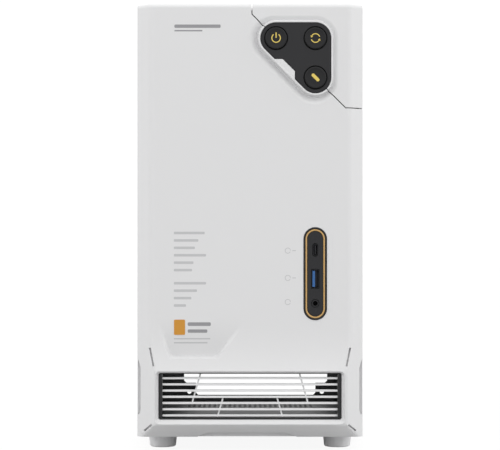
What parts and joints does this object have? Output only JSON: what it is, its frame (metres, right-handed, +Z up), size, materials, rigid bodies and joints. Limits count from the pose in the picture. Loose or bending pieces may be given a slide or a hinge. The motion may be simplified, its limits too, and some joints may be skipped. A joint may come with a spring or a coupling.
{
  "type": "nas enclosure",
  "caption": "Compact upright white computer enclosure: pull-off front with lower air grille, corner button plate, port column, sliding sides, lift-off top and rear fan.",
  "frame": {"origin": "on the resting surface, under the middle of the outer box", "axes": "+Z up, front looks along -Y, +X to the right seen from the front"},
  "size_m": [0.162, 0.264, 0.3223],
  "materials": {
    "white_shell": "fine matt moulded plastic",
    "white_metal": "fine powder coat",
    "black_metal": "black powder coat",
    "bare_steel": "zinc-plated",
    "black_plastic": "satin",
    "button_black": "satin, slightly dished",
    "light_ring": "translucent amber light guide",
    "grille_grey": "satin",
    "port_metal": "plated steel",
    "port_blue": "satin",
    "circuit_board": "solder mask",
    "foot_grey": "matt",
    "fan_black": "satin"
  },
  "bodies": {
    "chassis": {"corner_panel": "white_shell", "base_tray": "black_metal", "rear_panel": "black_metal", "front_frame": "black_metal", "left_top_rail": "black_metal", "right_top_rail": "black_metal", "board_tray": "black_metal", "upper_slot_cover": "black_metal", "lower_slot_cover": "black_metal", "drive_cage": "bare_steel", "button_plate": "black_plastic", "port_bezel": "black_plastic", "port_plate": "black_plastic", "audio_jack": "black_plastic", "power_switch": "black_plastic", "restart_switch": "black_plastic", "light_switch": "black_plastic", "lower_drive_sled": "black_plastic", "upper_drive_sled": "black_plastic", "port_light_ring": "light_ring", "usb_c_port": "port_metal", "usb_a_port": "port_metal", "usb_a_tongue": "port_blue", "button_board": "circuit_board", "port_board": "circuit_board", "front_left_foot": "foot_grey", "front_right_foot": "foot_grey", "rear_left_foot": "foot_grey", "rear_right_foot": "foot_grey", "fan_frame": "fan_black"},
    "front_cover": {"front_cover": "white_shell", "grille_frame": "black_plastic", "grille": "grille_grey"},
    "left_side_panel": {"left_side_panel": "white_metal", "left_lower_thumbscrew": "bare_steel", "left_upper_thumbscrew": "bare_steel"},
    "right_side_panel": {"right_side_panel": "white_metal", "right_lower_thumbscrew": "bare_steel", "right_upper_thumbscrew": "bare_steel"},
    "top_cover": {"top_cover": "white_metal"},
    "power_button": {"power_button": "button_black"},
    "restart_button": {"restart_button": "button_black"},
    "light_button": {"light_button": "button_black"},
    "fan_rotor": {"fan_rotor": "fan_black"}
  },
  "joints": [
    {"name": "front_cover_pull", "type": "slide", "parent": "chassis", "child": "front_cover", "axis": [0, -1, 0], "range_m": [0, 0.05]},
    {"name": "left_panel_slide", "type": "slide", "parent": "chassis", "child": "left_side_panel", "axis": [0, 1, 0], "range_m": [0, 0.025]},
    {"name": "right_panel_slide", "type": "slide", "parent": "chassis", "child": "right_side_panel", "axis": [0, 1, 0], "range_m": [0, 0.025]},
    {"name": "top_cover_lift", "type": "slide", "parent": "chassis", "child": "top_cover", "axis": [0, 0, 1], "range_m": [0, 0.04]},
    {"name": "power_press", "type": "slide", "parent": "chassis", "child": "power_button", "axis": [0, 1, 0], "range_m": [0, 0.0012], "stiffness_N_per_m": 1000, "springref_m": -0.0005},
    {"name": "restart_press", "type": "slide", "parent": "chassis", "child": "restart_button", "axis": [0, 1, 0], "range_m": [0, 0.0012], "stiffness_N_per_m": 1000, "springref_m": -0.0005},
    {"name": "light_press", "type": "slide", "parent": "chassis", "child": "light_button", "axis": [0, 1, 0], "range_m": [0, 0.0012], "stiffness_N_per_m": 1000, "springref_m": -0.0005},
    {"name": "fan_spin", "type": "hinge", "parent": "chassis", "child": "fan_rotor", "pos_m": [-0.026, 0.11075, 0.205], "axis": [0, 1, 0], "continuous": true}
  ]
}
